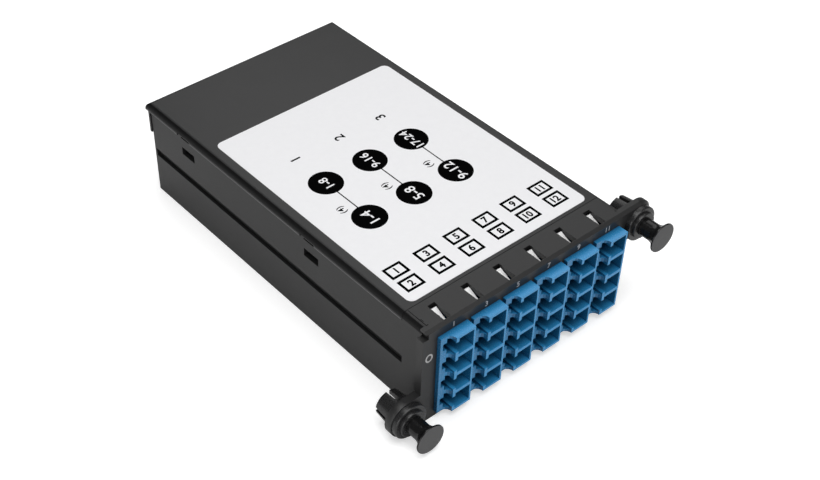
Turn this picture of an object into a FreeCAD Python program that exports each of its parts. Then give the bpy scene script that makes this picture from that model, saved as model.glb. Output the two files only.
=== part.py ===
import FreeCAD, Part
import math
import os
import Sketcher

# Fibre cassette: a moulded tray with a snapped cover, six four-port adapters in its front
# plate, three ribbon adapters in its rear wall, and a push latch on an ear at each side.
# X runs along the front plate, Y from the plate's front face to the rear, Z up from the floor.
os.makedirs("parts", exist_ok=True)
doc = FreeCAD.newDocument("fibre_cassette")

# Driving sizes in millimetres, one alias each.
SIZES = {
    # tray and front plate
    "body_width": 65.0,
    "body_height": 30.6,
    "tray_depth": 116.4,
    "wall": 1.6,
    "floor_thickness": 1.5,
    "plate_lip": 2.25,
    "plate_thickness": 2.2,
    "strip_depth": 8.7,
    "strip_thickness": 1.5,
    "edge_radius": 1.0,
    "rear_edge_radius": 1.6,
    "plate_edge": 0.8,
    "rear_corner_radius": 3.0,
    "notch_depth": 1.75,
    "notch_drop": 2.3,
    "notch_height": 1.6,
    "step_depth": 1.05,
    # guide grooves and their backing ribs
    "groove_height": 2.4,
    "groove_depth": 1.0,
    "groove_base": 12.65,
    "groove_start": 9.5,
    "groove_end_wall": 0.8,
    "groove_backing": 1.2,
    "backing_start": 34.8,
    "bay_relief": 0.75,
    "bay_play": 1.0,
    # cover
    "cover_thickness": 1.5,
    "cover_lap": 3.3,
    "cover_seam": 0.15,
    "skirt_drop": 10.3,
    "skirt_thickness": 1.1,
    "skirt_gap": 0.3,
    "slit_depth": 0.6,
    # snap hooks and the windows that they catch in
    "hook_front": 44.3,
    "hook_spacing": 54.3,
    "hook_width": 5.2,
    "hook_thickness": 1.2,
    "hook_nose": 1.1,
    "window_base": 21.4,
    "window_height": 2.45,
    "window_play": 0.3,
    "relief_height": 0.45,
    # latches
    "latch_reach": 38.8,
    "latch_rise": 5.25,
    "latch_drop": 5.9,
    "latch_travel": 2.6,
    "ear_reach": 5.2,
    "ear_radius": 5.0,
    "shaft_radius": 2.45,
    "shaft_clearance": 0.06,
    "barrel_wall": 1.0,
    "barrel_clearance": 0.05,
    "collar_radius": 4.95,
    "collar_thickness": 1.5,
    "ring_radius": 3.8,
    "ring_thickness": 0.9,
    "prong_length": 5.0,
    "prong_barb": 0.75,
    "barb_tip": 3.75,
    "prong_gap": 1.0,
    "head_radius": 4.17,
    "head_front": 8.5,
    "head_rim": 0.85,
    "flare_radius": 3.2,
    "shaft_tail": 3.0,
    # four-port adapters
    "adapter_count": 6,
    "adapter_pitch": 10.46,
    "adapter_width": 9.35,
    "adapter_centre": 0.68,
    "adapter_base": 1.9,
    "adapter_tail": 24.0,
    "adapter_fit": 0.05,
    "adapter_stop": 0.3,
    "adapter_stop_length": 1.6,
    "nose_reach": 3.0,
    "nose_setback": 1.9,
    "scallop_start": 1.3,
    "port_count": 4,
    "port_pitch": 6.25,
    "port_divider": 1.0,
    "port_cap": 0.66,
    "port_side": 0.55,
    "port_body": 4.7,
    "neck_length": 0.9,
    "neck_gap": 3.4,
    "latch_bay": 1.3,
    "latch_bay_height": 5.0,
    "tail_slot": 1.1,
    "tail_slot_height": 2.2,
    "shoulder_depth": 1.4,
    "port_floor": 9.7,
    "mid_wall": 1.6,
    "holder_radius": 1.35,
    "holder_length": 4.5,
    "sleeve_radius": 0.85,
    "sleeve_bore": 0.645,
    "sleeve_length": 10.4,
    # adapter clips and the slots that their leaves spring into
    "clip_thickness": 0.3,
    "clip_start": 6.2,
    "clip_length": 6.0,
    "clip_wrap": 7.4,
    "leaf_width": 1.9,
    "leaf_fold": 1.15,
    "leaf_end": 5.9,
    "leaf_height": 2.7,
    "leaf_drop": 1.2,
    "slot_width": 2.2,
    "slot_start": 0.95,
    "slot_length": 5.8,
    "slot_inset": 2.6,
    # plugs seated behind the adapters
    "plug_size": 4.5,
    "plug_front": 16.1,
    "plug_length": 11.3,
    "plug_boot": 2.6,
    "plug_boot_length": 6.0,
    "ferrule_radius": 0.625,
    "ferrule_front": 10.55,
    # rear ribbon adapters and their plugs
    "ribbon_pitch": 20.5,
    "ribbon_rise": 9.5,
    "ribbon_body_width": 12.8,
    "ribbon_body_height": 9.4,
    "ribbon_flange_width": 17.6,
    "ribbon_flange_thickness": 1.6,
    "ribbon_outside": 6.0,
    "ribbon_inside": 19.0,
    "ribbon_port_width": 9.8,
    "ribbon_port_height": 7.4,
    "ribbon_port_depth": 12.0,
    "ribbon_mid_wall": 1.4,
    "ribbon_key_width": 3.2,
    "ribbon_key_height": 0.6,
    "ribbon_fit": 0.1,
    "ribbon_clip_width": 1.4,
    "ribbon_plug_fit": 0.1,
    "ribbon_plug_length": 18.0,
    "ribbon_boot_length": 6.0,
    "ribbon_boot_radius": 2.5,
    # fan-out blocks, trunk tubes and single fibre legs
    "trunk_radius": 1.5,
    "fan_front": 52.0,
    "fan_length": 15.0,
    "fan_width": 12.0,
    "fan_height": 9.0,
    "fan_chamfer": 1.2,
    "fan_socket": 3.0,
    "tube_play": 0.05,
    "cradle_wall": 1.2,
    "cradle_height": 6.0,
    "leg_radius": 0.45,
    "leg_spread": 2.2,
    # label
    "label_width": 59.8,
    "label_front": 9.85,
    "label_depth": 78.8,
    "label_thickness": 0.12,
    "label_radius": 1.9,
}

sheet = doc.addObject("Spreadsheet::Sheet", "dims")
for row, (alias, value) in enumerate(SIZES.items(), start=1):
    sheet.set("A%d" % row, alias)
    sheet.set("B%d" % row, str(value))
    sheet.setAlias("B%d" % row, alias)
doc.recompute()

# Each axis has the origin plane that lies across it and the sign of that plane's normal.
PLANES = {"X": ("YZ_Plane", 1), "Y": ("XZ_Plane", -1), "Z": ("XY_Plane", 1)}


def new_body(label):
    """An empty body whose label names its file."""
    body = doc.addObject("PartDesign::Body", label)
    body.Label = label
    return body


def origin_feature(body, role):
    """The body's own origin plane or axis with this role."""
    return next(item for item in body.Origin.OriginFeatures if item.Role == role)


def move(body, x="0", y="0", z="0"):
    """Bind the body's place to expressions in the sheet's sizes."""
    for letter, expression in zip("xyz", (x, y, z)):
        body.setExpression("Placement.Base." + letter, expression)


def new_sketch(body, name, axis, station):
    """A sketch across an axis, at a station along it."""
    role, sign = PLANES[axis]
    sketch = body.newObject("Sketcher::SketchObject", name)
    sketch.AttachmentSupport = (origin_feature(body, role), [""])
    sketch.MapMode = "FlatFace"
    sketch.setExpression("AttachmentOffset.Base.z", station if sign > 0 else "-(%s)" % station)
    return sketch


def bind(sketch, constraint, expression):
    """Add a constraint and tie its value to an expression."""
    index = sketch.addConstraint(constraint)
    sketch.setExpression("Constraints[%d]" % index, expression)


def outline(*corners):
    """A closed straight-sided outline; each corner is a pair of expressions."""
    def draw(sketch):
        first = sketch.GeometryCount
        turn = 2 * math.pi / len(corners)
        angles = [index * turn for index in range(len(corners))]
        seeds = [FreeCAD.Vector(9 * math.cos(angle), 9 * math.sin(angle), 0) for angle in angles]
        for index, seed in enumerate(seeds):
            following = seeds[(index + 1) % len(seeds)]
            sketch.addGeometry(Part.LineSegment(seed, following), False)
        for index in range(len(corners)):
            after = (index + 1) % len(corners)
            sketch.addConstraint(Sketcher.Constraint("Coincident", first + index, 2, first + after, 1))
        for index, (along, up) in enumerate(corners):
            seed = seeds[index]
            bind(sketch, Sketcher.Constraint("DistanceX", first + index, 1, seed.x), along)
            bind(sketch, Sketcher.Constraint("DistanceY", first + index, 1, seed.y), up)
    return draw


def rectangle(left, bottom, right, top):
    """A rectangle between two opposite corners."""
    return outline((left, bottom), (right, bottom), (right, top), (left, top))


def circle(along, up, radius):
    """A circle about a centre."""
    def draw(sketch):
        index = sketch.addGeometry(Part.Circle(FreeCAD.Vector(1, 1, 0), FreeCAD.Vector(0, 0, 1), 1), False)
        bind(sketch, Sketcher.Constraint("DistanceX", index, 3, 1.0), along)
        bind(sketch, Sketcher.Constraint("DistanceY", index, 3, 1.0), up)
        bind(sketch, Sketcher.Constraint("Radius", index, 1.0), radius)
    return draw


def corner_waste(along, up, radius):
    """What a rounding takes off the corner at high X and Y of its sketch."""
    def draw(sketch):
        tip = FreeCAD.Vector(0, 0, 0)
        across = sketch.addGeometry(Part.LineSegment(FreeCAD.Vector(-1, 0, 0), tip), False)
        down = sketch.addGeometry(Part.LineSegment(tip, FreeCAD.Vector(0, -1, 0)), False)
        ring = Part.Circle(FreeCAD.Vector(-1, -1, 0), FreeCAD.Vector(0, 0, 1), 1)
        arc = sketch.addGeometry(Part.ArcOfCircle(ring, 0, math.pi / 2), False)
        for constraint in (("Coincident", across, 2, down, 1), ("Coincident", down, 2, arc, 1),
                           ("Coincident", arc, 2, across, 1), ("Horizontal", across), ("Vertical", down)):
            sketch.addConstraint(Sketcher.Constraint(*constraint))
        bind(sketch, Sketcher.Constraint("DistanceX", across, 2, 1.0), along)
        bind(sketch, Sketcher.Constraint("DistanceY", across, 2, 1.0), up)
        bind(sketch, Sketcher.Constraint("DistanceX", arc, 3, down, 1, 1.0), radius)
        bind(sketch, Sketcher.Constraint("DistanceY", arc, 3, across, 1, 1.0), radius)
    return draw


def many_sided(along, up, radius, sides):
    """A regular outline about a centre, for small bores and tubes that repeat."""
    corners = []
    for index in range(sides):
        angle = math.pi * (2 * index + 1) / sides
        corners.append(("%s + %s * (%.5f)" % (along, radius, math.cos(angle)),
                        "%s + %s * (%.5f)" % (up, radius, math.sin(angle))))
    return outline(*corners)


def extrude(kind, body, name, axis, start, end, shapes):
    """A pad or pocket of some outlines between two stations along an axis."""
    from_start = (PLANES[axis][1] > 0) == (kind == "Pad")
    sketch = new_sketch(body, name + "_sketch", axis, start if from_start else end)
    for draw in shapes:
        draw(sketch)
    feature = body.newObject("PartDesign::" + kind, name)
    feature.Profile = sketch
    feature.Type = 0
    feature.setExpression("Length", "(%s) - (%s)" % (end, start))
    return feature


def pad(body, name, axis, start, end, *shapes):
    return extrude("Pad", body, name, axis, start, end, shapes)


def pocket(body, name, axis, start, end, *shapes):
    return extrude("Pocket", body, name, axis, start, end, shapes)


def turned(kind, body, name, shape):
    """A revolution or groove about the body's own Y axis; the outline is radius against Y."""
    sketch = new_sketch(body, name + "_sketch", "Z", "0")
    shape(sketch)
    feature = body.newObject("PartDesign::" + kind, name)
    feature.Profile = sketch
    feature.ReferenceAxis = (sketch, ["V_Axis"])
    feature.Angle = 360
    return feature


def pattern(body, name, originals, axis, step, count):
    """Copies of features at an even step along an axis."""
    feature = body.newObject("PartDesign::LinearPattern", name)
    feature.Originals = originals
    feature.Direction = (origin_feature(body, axis + "_Axis"), [""])
    feature.setExpression("Length", "(%s) * (%s - 1)" % (step, count))
    feature.setExpression("Occurrences", count)
    body.Tip = feature
    return feature


def mirror(body, name, originals, role):
    """Features repeated on the far side of an origin plane."""
    feature = body.newObject("PartDesign::Mirrored", name)
    feature.Originals = originals
    feature.MirrorPlane = (origin_feature(body, role), [""])
    body.Tip = feature
    return feature


def pick(base, chosen):
    """A feature and the names of its edges that a test picks out."""
    doc.recompute()
    return base, ["Edge%d" % (i + 1) for i, edge in enumerate(base.Shape.Edges) if chosen(edge)]


def round_edges(body, base, name, radius, chosen):
    """Round the edges of a feature that a test picks out."""
    feature = body.newObject("PartDesign::Fillet", name)
    feature.Base = pick(base, chosen)
    feature.setExpression("Radius", radius)
    return feature


def bevel_edges(body, base, name, width, chosen):
    """Bevel the edges of a feature that a test picks out."""
    feature = body.newObject("PartDesign::Chamfer", name)
    feature.Base = pick(base, chosen)
    feature.setExpression("Size", width)
    return feature


def near(first, second):
    return abs(first - second) < 0.02


def size(alias):
    """The number in a cell, for tests that pick edges."""
    return float(sheet.get(alias))


def lies_along(edge, axis):
    """Whether a straight edge runs along an axis."""
    box = edge.BoundBox
    lengths = {"X": box.XLength, "Y": box.YLength, "Z": box.ZLength}
    return all(length < 0.01 for letter, length in lengths.items() if letter != axis)


def is_top_side(edge):
    """Whether an edge runs along the body's top at its left or right side."""
    box = edge.BoundBox
    at_top = near(box.ZMin, size("body_height"))
    return lies_along(edge, "Y") and at_top and near(abs(box.XMin), size("body_width") / 2)


# Expressions that several pieces share.
HALF_WIDTH = "dims.body_width / 2"
INNER_HALF = "(dims.body_width / 2 - dims.wall)"
LAP_BASE = "(dims.body_height - dims.cover_lap)"
ADAPTER_HEIGHT = "(dims.port_pitch * dims.port_count - dims.port_divider + 2 * dims.port_cap)"
ADAPTER_TOP = "(dims.adapter_base + %s)" % ADAPTER_HEIGHT
FIRST_ADAPTER = ("(dims.adapter_centre - dims.adapter_pitch * (dims.adapter_count - 1) / 2"
                 " - dims.adapter_width / 2)")
PORT_HEIGHT = "(dims.port_pitch - dims.port_divider)"
FIRST_PORT = "(dims.port_cap + %s / 2)" % PORT_HEIGHT
PORT_RIGHT = "(dims.adapter_width - dims.port_side)"
FERRULE_X = "(%s - dims.port_body / 2)" % PORT_RIGHT
FIRST_SLOT = "(%s + dims.slot_inset)" % FIRST_ADAPTER
BARREL = "(dims.shaft_radius + dims.shaft_clearance + dims.barrel_wall)"
EAR_END = "(dims.latch_reach + dims.ear_reach)"
PLATE_HALF = "(dims.body_width / 2 + dims.plate_lip)"
FIRST_RIBBON = "(-dims.ribbon_pitch)"
RIBBON_INNER_END = "(dims.tray_depth - dims.ribbon_inside)"
RIBBON_OUTER_END = "(dims.tray_depth + dims.ribbon_outside)"
RIBBON_SEAT = "(%s - dims.ribbon_mid_wall - dims.ribbon_port_depth)" % RIBBON_OUTER_END
TUBE_BORE = "(dims.trunk_radius + dims.tube_play)"
RIBBON_BOOT_END = "(%s - dims.ribbon_plug_length - dims.ribbon_boot_length)" % RIBBON_SEAT
FAN_REAR = "(dims.fan_front + dims.fan_length)"
PLUG_REAR = "(dims.plug_front + dims.plug_length)"

# Bores, ferrules and tubes that repeat inside the case have this many sides.
BORE_SIDES = 5
LEG_SIDES = 4


def number_of(alias):
    return int(size(alias))


# One moulding: floor, walls, front plate, slotted top strip and the two latch ears.
def make_tray():
    body = new_body("tray")
    pad(body, "shell", "X", "-" + HALF_WIDTH, HALF_WIDTH, outline(
        ("0", "0"), ("dims.tray_depth", "0"), ("dims.tray_depth", LAP_BASE),
        ("dims.strip_depth", LAP_BASE), ("dims.strip_depth", "dims.body_height"),
        ("0", "dims.body_height")))
    hollow = pocket(body, "hollow", "X", "-" + INNER_HALF, INNER_HALF, outline(
        ("dims.plate_thickness", "dims.floor_thickness"),
        ("dims.tray_depth - dims.wall", "dims.floor_thickness"),
        ("dims.tray_depth - dims.wall", "dims.body_height"),
        ("dims.strip_depth", "dims.body_height"),
        ("dims.strip_depth", "dims.body_height - dims.strip_thickness"),
        ("dims.plate_thickness", "dims.body_height - dims.strip_thickness")))

    rounded = round_edges(body, hollow, "strip_rounding", "dims.edge_radius", is_top_side)

    def rear_corner(edge):
        box = edge.BoundBox
        at_rear = near(box.YMin, size("tray_depth"))
        return lies_along(edge, "Z") and at_rear and near(box.XMin, size("body_width") / 2)

    round_edges(body, rounded, "rear_corner", "dims.rear_corner_radius", rear_corner)
    add_front_plate(body)
    add_grooves(body)
    add_windows(body)
    cut_adapter_seats(body)
    cut_ribbon_seats(body)
    add_cradles(body)
    return body


def add_front_plate(body):
    """The plate stands proud of the tray's sides and carries a latch ear low left and high right."""
    pad(body, "plate_lips", "Y", "0", "dims.plate_thickness",
        rectangle("-" + PLATE_HALF, "0", PLATE_HALF, "dims.body_height"))
    pad(body, "left_ear", "Y", "0", "dims.plate_thickness",
        rectangle("-" + EAR_END, "0", "-" + HALF_WIDTH, "dims.latch_rise + dims.ear_reach"))
    ears = pad(body, "right_ear", "Y", "0", "dims.plate_thickness",
               rectangle(HALF_WIDTH, "dims.body_height - dims.latch_drop - dims.ear_reach",
                         EAR_END, "dims.body_height"))

    def ear_corner(edge):
        end = size("latch_reach") + size("ear_reach")
        return lies_along(edge, "Y") and near(abs(edge.BoundBox.XMin), end)

    rounded = round_edges(body, ears, "ear_rounding", "dims.ear_radius", ear_corner)

    def front_top_edge(edge):
        box = edge.BoundBox
        at_front = near(box.YMin, 0)
        return lies_along(edge, "X") and at_front and near(box.ZMin, size("body_height"))

    bevel_edges(body, rounded, "front_edge", "dims.plate_edge", front_top_edge)
    hole = "%s + dims.barrel_clearance" % BARREL
    pocket(body, "grommet_holes", "Y", "0", "dims.plate_thickness",
           circle("-dims.latch_reach", "dims.latch_rise", hole),
           circle("dims.latch_reach", "dims.body_height - dims.latch_drop", hole))
    notch_base = "dims.body_height - dims.notch_drop"
    notch_top = notch_base + " + dims.notch_height"
    pocket(body, "lip_notch", "X", "-" + PLATE_HALF, "-%s + dims.notch_depth" % PLATE_HALF,
           rectangle("0", notch_base, "dims.plate_thickness", notch_top))
    pocket(body, "lip_step", "X", "-" + PLATE_HALF, "-%s + dims.step_depth" % PLATE_HALF,
           rectangle("0", notch_top, "dims.plate_thickness", "dims.body_height"))


def add_grooves(body):
    """A guide groove runs along each side, with a rib behind it inside the tray and a thin end wall.

    The right wall is thin beside the last adapter, so its groove starts behind the adapters.
    """
    backing = pad(body, "groove_backing", "X", INNER_HALF + " - dims.groove_backing", INNER_HALF, rectangle(
        "dims.backing_start", "dims.groove_base - dims.groove_backing",
        "dims.tray_depth - dims.wall", "dims.groove_base + dims.groove_height + dims.groove_backing"))
    mirror(body, "groove_backings", [backing], "YZ_Plane")
    pocket(body, "adapter_bay", "X", INNER_HALF, INNER_HALF + " + dims.bay_relief", rectangle(
        "dims.plate_thickness", "dims.floor_thickness",
        "dims.adapter_tail + dims.bay_play", "dims.body_height - dims.strip_thickness - dims.bay_play"))
    end = "dims.tray_depth - dims.groove_end_wall"
    top = "dims.groove_base + dims.groove_height"
    pocket(body, "left_groove", "X", "-" + HALF_WIDTH, "-%s + dims.groove_depth" % HALF_WIDTH,
           rectangle("dims.groove_start", "dims.groove_base", end, top))
    pocket(body, "right_groove", "X", HALF_WIDTH + " - dims.groove_depth", HALF_WIDTH,
           rectangle("dims.adapter_tail + 3 * dims.bay_play", "dims.groove_base", end, top))


def add_windows(body):
    """The cover's hooks catch in two windows on each side, with a shallow relief over each one."""
    shapes = []
    for step in range(2):
        middle = "dims.hook_front + %d * dims.hook_spacing" % step
        start = middle + " - dims.hook_width / 2 - dims.window_play"
        end = middle + " + dims.hook_width / 2 + dims.window_play"
        shapes.append(rectangle(start, "dims.window_base", end, "dims.window_base + dims.window_height"))
        shapes.append(rectangle(start, LAP_BASE + " - dims.relief_height", end, LAP_BASE))
    pocket(body, "windows", "X", "-" + HALF_WIDTH, HALF_WIDTH, *shapes)


def cut_adapter_seats(body):
    """A close opening for each adapter, and a slot above and below it for its clip's leaves."""
    seat = pocket(body, "adapter_seat", "Y", "0", "dims.plate_thickness", rectangle(
        FIRST_ADAPTER + " - dims.adapter_fit", "dims.adapter_base - dims.adapter_fit",
        FIRST_ADAPTER + " + dims.adapter_width + dims.adapter_fit", ADAPTER_TOP + " + dims.adapter_fit"))
    slot = rectangle(FIRST_SLOT, "dims.slot_start", FIRST_SLOT + " + dims.slot_width",
                     "dims.slot_start + dims.slot_length")
    above = pocket(body, "top_slot", "Z", ADAPTER_TOP, "dims.body_height", slot)
    below = pocket(body, "bottom_slot", "Z", "0", "dims.adapter_base", slot)
    pattern(body, "adapter_seats", [seat, above, below], "X", "dims.adapter_pitch", "dims.adapter_count")


def cut_ribbon_seats(body):
    """Three openings in the rear wall for the ribbon adapters."""
    half_width = "(dims.ribbon_body_width / 2 + dims.ribbon_fit)"
    half_height = "(dims.ribbon_body_height / 2 + dims.ribbon_fit)"
    seat = pocket(body, "ribbon_seat", "Y", "dims.tray_depth - dims.wall", "dims.tray_depth", rectangle(
        FIRST_RIBBON + " - " + half_width, "dims.ribbon_rise - " + half_height,
        FIRST_RIBBON + " + " + half_width, "dims.ribbon_rise + " + half_height))
    pattern(body, "ribbon_seats", [seat], "X", "dims.ribbon_pitch", "3")


def add_cradles(body):
    """Two posts from the floor clasp each fan-out block."""
    left = FIRST_RIBBON + " - dims.fan_width / 2"
    right = FIRST_RIBBON + " + dims.fan_width / 2"
    base = "dims.floor_thickness"
    seat = "dims.ribbon_rise - dims.fan_height / 2"
    top = seat + " + dims.cradle_height"
    posts = pad(body, "cradle", "Y",
                "dims.fan_front + dims.fan_length / 4", FAN_REAR + " - dims.fan_length / 4",
                rectangle(left + " - dims.cradle_wall", base, left, top),
                rectangle(right, base, right + " + dims.cradle_wall", top),
                rectangle(left, base, right, seat))
    pattern(body, "cradles", [posts], "X", "dims.ribbon_pitch", "3")


# The cover drops over the open tray, laps onto its walls and hooks into its windows.
def make_cover():
    body = new_body("cover")
    front = "(dims.strip_depth + dims.cover_seam)"
    rear = "(dims.tray_depth + dims.skirt_thickness)"
    skirt_front = "(dims.tray_depth + dims.skirt_gap)"
    under = "(dims.body_height - dims.cover_thickness)"
    skirt_base = "dims.body_height - dims.skirt_drop"
    pad(body, "lid", "X", "-" + HALF_WIDTH, HALF_WIDTH, outline(
        (front, LAP_BASE), (skirt_front, LAP_BASE), (skirt_front, skirt_base), (rear, skirt_base),
        (rear, "dims.body_height"), (front, "dims.body_height")))
    inside = pocket(body, "lid_hollow", "X", "-" + INNER_HALF, INNER_HALF, outline(
        (front + " - 1", LAP_BASE + " - 1"), ("dims.tray_depth - dims.wall", LAP_BASE + " - 1"),
        ("dims.tray_depth - dims.wall", under), (front + " - 1", under)))
    round_edges(body, inside, "side_rounding", "dims.edge_radius", is_top_side)
    pocket(body, "rear_rounding", "X", "-" + HALF_WIDTH, HALF_WIDTH,
           corner_waste(rear, "dims.body_height", "dims.rear_edge_radius"))
    pocket(body, "rear_corner", "Z", skirt_base, "dims.body_height",
           corner_waste(HALF_WIDTH, rear, "dims.rear_corner_radius"))
    pocket(body, "skirt_slit", "X", "-" + HALF_WIDTH, "-%s + dims.slit_depth" % HALF_WIDTH,
           rectangle("dims.tray_depth", LAP_BASE, skirt_front, "dims.body_height - dims.edge_radius"))
    add_hooks(body)
    return body


def add_hooks(body):
    """Two spring hooks hang inside each wall; each nose stands in its window."""
    hang = "(dims.window_base + dims.window_play)"
    catch = "(dims.window_base + dims.window_height - dims.window_play)"
    outer = "(%s - dims.window_play)" % INNER_HALF
    inner = "(%s - dims.hook_thickness)" % outer
    nose = "(%s + dims.hook_nose)" % INNER_HALF
    under = "(dims.body_height - dims.cover_thickness)"
    profile = [(inner, hang), (outer, hang), (nose, catch + " - dims.window_play"), (nose, catch),
               (outer, catch), (outer, under), (inner, under)]
    right = outline(*profile)
    left = outline(*[("-" + along, up) for along, up in profile])
    hook = pad(body, "hook", "Y", "dims.hook_front - dims.hook_width / 2",
               "dims.hook_front + dims.hook_width / 2", right, left)
    pattern(body, "hooks", [hook], "Y", "dims.hook_spacing", "2")


# The printed label lies on the cover.
def make_label():
    body = new_body("label")
    middle = "dims.label_front + dims.label_depth / 2"
    points = []
    for step in range(12):
        angle = math.pi * (step // 3 + step % 3 / 2) / 2
        quarter = math.pi * (step // 3 + 0.5) / 2
        across = math.copysign(1, math.cos(quarter))
        up = math.copysign(1, math.sin(quarter))
        points.append(("%d * (dims.label_width / 2 - dims.label_radius) + %.5f * dims.label_radius"
                       % (across, math.cos(angle)),
                       "%s + %d * (dims.label_depth / 2 - dims.label_radius) + %.5f * dims.label_radius"
                       % (middle, up, math.sin(angle))))
    pad(body, "paper", "Z", "dims.body_height", "dims.body_height + dims.label_thickness", outline(*points))
    return body


# One adapter holds four ports in a column; each takes a plug from the front and one from the rear.
def make_adapter(index):
    body = new_body("port_adapter_%d" % (index + 1))
    pad(body, "block", "Z", "0", ADAPTER_HEIGHT,
        rectangle("0", "-dims.nose_reach", "dims.adapter_width", "dims.adapter_tail"))
    pocket(body, "setback", "Z", "0", ADAPTER_HEIGHT, rectangle(
        "-1", "-dims.nose_reach - 1", "dims.scallop_start", "-dims.nose_reach + dims.nose_setback"))
    pocket(body, "scallop", "Z", "0", ADAPTER_HEIGHT,
           many_sided("dims.scallop_start", "-dims.nose_reach", "dims.nose_setback / cos(180 / 16)", 16))
    pad(body, "stop", "Y", "dims.plate_thickness", "dims.plate_thickness + dims.adapter_stop_length",
        rectangle("-dims.adapter_stop", "0", "dims.adapter_width / 2", ADAPTER_HEIGHT))
    cut_ports(body)
    move(body, FIRST_ADAPTER + " + %d * dims.adapter_pitch" % index, "0", "dims.adapter_base")
    return body


def port_profile():
    """The stepped opening: plug body, latch neck, latch bay and tail slot, about the port's centre line."""
    neck = "%s - dims.port_body" % PORT_RIGHT
    bay = neck + " - dims.neck_length"
    tail = bay + " - dims.latch_bay"
    end = tail + " - dims.tail_slot"
    slot_height = "dims.tail_slot_height"
    bay_height = "dims.latch_bay_height"
    steps = [(end, slot_height), (tail, slot_height), (tail, bay_height), (bay, bay_height),
             (bay, "dims.neck_gap"), (neck, "dims.neck_gap"), (neck, PORT_HEIGHT), (PORT_RIGHT, PORT_HEIGHT)]
    upper = [(along, "%s + %s / 2" % (FIRST_PORT, height)) for along, height in steps]
    lower = [(along, "%s - %s / 2" % (FIRST_PORT, height)) for along, height in reversed(steps)]
    return outline(*(upper + lower))


def cut_ports(body):
    """Cut one port with its latch chamber, sleeve holder, middle wall and rear bay, then repeat it."""
    chamber_left = "%s - dims.port_body - dims.neck_length - dims.latch_bay" % PORT_RIGHT
    bottom = "%s - %s / 2" % (FIRST_PORT, PORT_HEIGHT)
    top = "%s + %s / 2" % (FIRST_PORT, PORT_HEIGHT)
    chamber = rectangle(chamber_left, bottom, PORT_RIGHT, top)
    holder = many_sided(FERRULE_X, FIRST_PORT, "dims.holder_radius", BORE_SIDES)
    rear_wall = "dims.port_floor + dims.mid_wall + dims.holder_length"
    features = [
        pocket(body, "port", "Y", "-dims.nose_reach", "dims.shoulder_depth", port_profile()),
        pocket(body, "chamber", "Y", "dims.shoulder_depth", "dims.port_floor", chamber),
        pocket(body, "rear_bay", "Y", rear_wall, "dims.adapter_tail", chamber),
        pad(body, "front_holder", "Y", "dims.port_floor - dims.holder_length", "dims.port_floor", holder),
        pocket(body, "sleeve_bore", "Y", "dims.port_floor - dims.holder_length",
               rear_wall, many_sided(FERRULE_X, FIRST_PORT, "dims.sleeve_radius", BORE_SIDES)),
    ]
    pattern(body, "ports", features, "Z", "dims.port_pitch", "dims.port_count")


# A spring-steel clip saddles each adapter; a folded leaf above and below springs into the slots.
def make_clip(index):
    body = new_body("adapter_clip_%d" % (index + 1))
    left = "-dims.clip_thickness"
    bottom = "-dims.clip_thickness"
    top = ADAPTER_HEIGHT + " + dims.clip_thickness"
    pad(body, "saddle", "Y", "dims.clip_start", "dims.clip_start + dims.clip_length", outline(
        (left, bottom), ("dims.clip_wrap", bottom), ("dims.clip_wrap", "0"), ("0", "0"),
        ("0", ADAPTER_HEIGHT), ("dims.clip_wrap", ADAPTER_HEIGHT), ("dims.clip_wrap", top), (left, top)))
    middle = "(dims.slot_inset + dims.slot_width / 2)"
    across = (middle + " - dims.leaf_width / 2", middle + " + dims.leaf_width / 2")
    add_leaf(body, "top", across, ADAPTER_HEIGHT, 1, "dims.leaf_height")
    add_leaf(body, "bottom", across, "0", -1, "dims.leaf_drop")
    move(body, FIRST_ADAPTER + " + %d * dims.adapter_pitch" % index, "0", "dims.adapter_base")
    return body


def add_leaf(body, name, across, face, side, rise):
    """A tongue lies along the adapter, folds at its front end and rises back as a free leaf."""
    def level(height):
        return "%s %s (%s)" % (face, "+" if side > 0 else "-", height)
    thick = "dims.clip_thickness"
    pad(body, name + "_leaf", "X", across[0], across[1], outline(
        ("dims.clip_start", level("0")), ("dims.clip_start", level(thick)),
        ("dims.leaf_fold + 2 * " + thick, level(thick)),
        ("dims.leaf_end", level(rise + " - " + thick)), ("dims.leaf_end", level(rise)),
        ("dims.leaf_fold", level("2 * " + thick)), ("dims.leaf_fold", level("0"))))


# Split ceramic sleeves line up the ferrules inside the adapters.
def make_sleeves():
    body = new_body("alignment_sleeves")
    middle = "(dims.port_floor + dims.mid_wall / 2)"
    start = "%s - dims.sleeve_length / 2" % middle
    along = "%s + %s" % (FIRST_ADAPTER, FERRULE_X)
    shapes = []
    for port in range(number_of("port_count")):
        up = "dims.adapter_base + %s + %d * dims.port_pitch" % (FIRST_PORT, port)
        shapes.append(many_sided(along, up, "dims.sleeve_radius", BORE_SIDES))
        shapes.append(many_sided(along, up, "dims.sleeve_bore", BORE_SIDES))
    column = pad(body, "column", "Y", start, start + " + dims.sleeve_length", *shapes)
    pattern(body, "rows", [column], "X", "dims.adapter_pitch", "dims.adapter_count")
    return body


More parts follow.
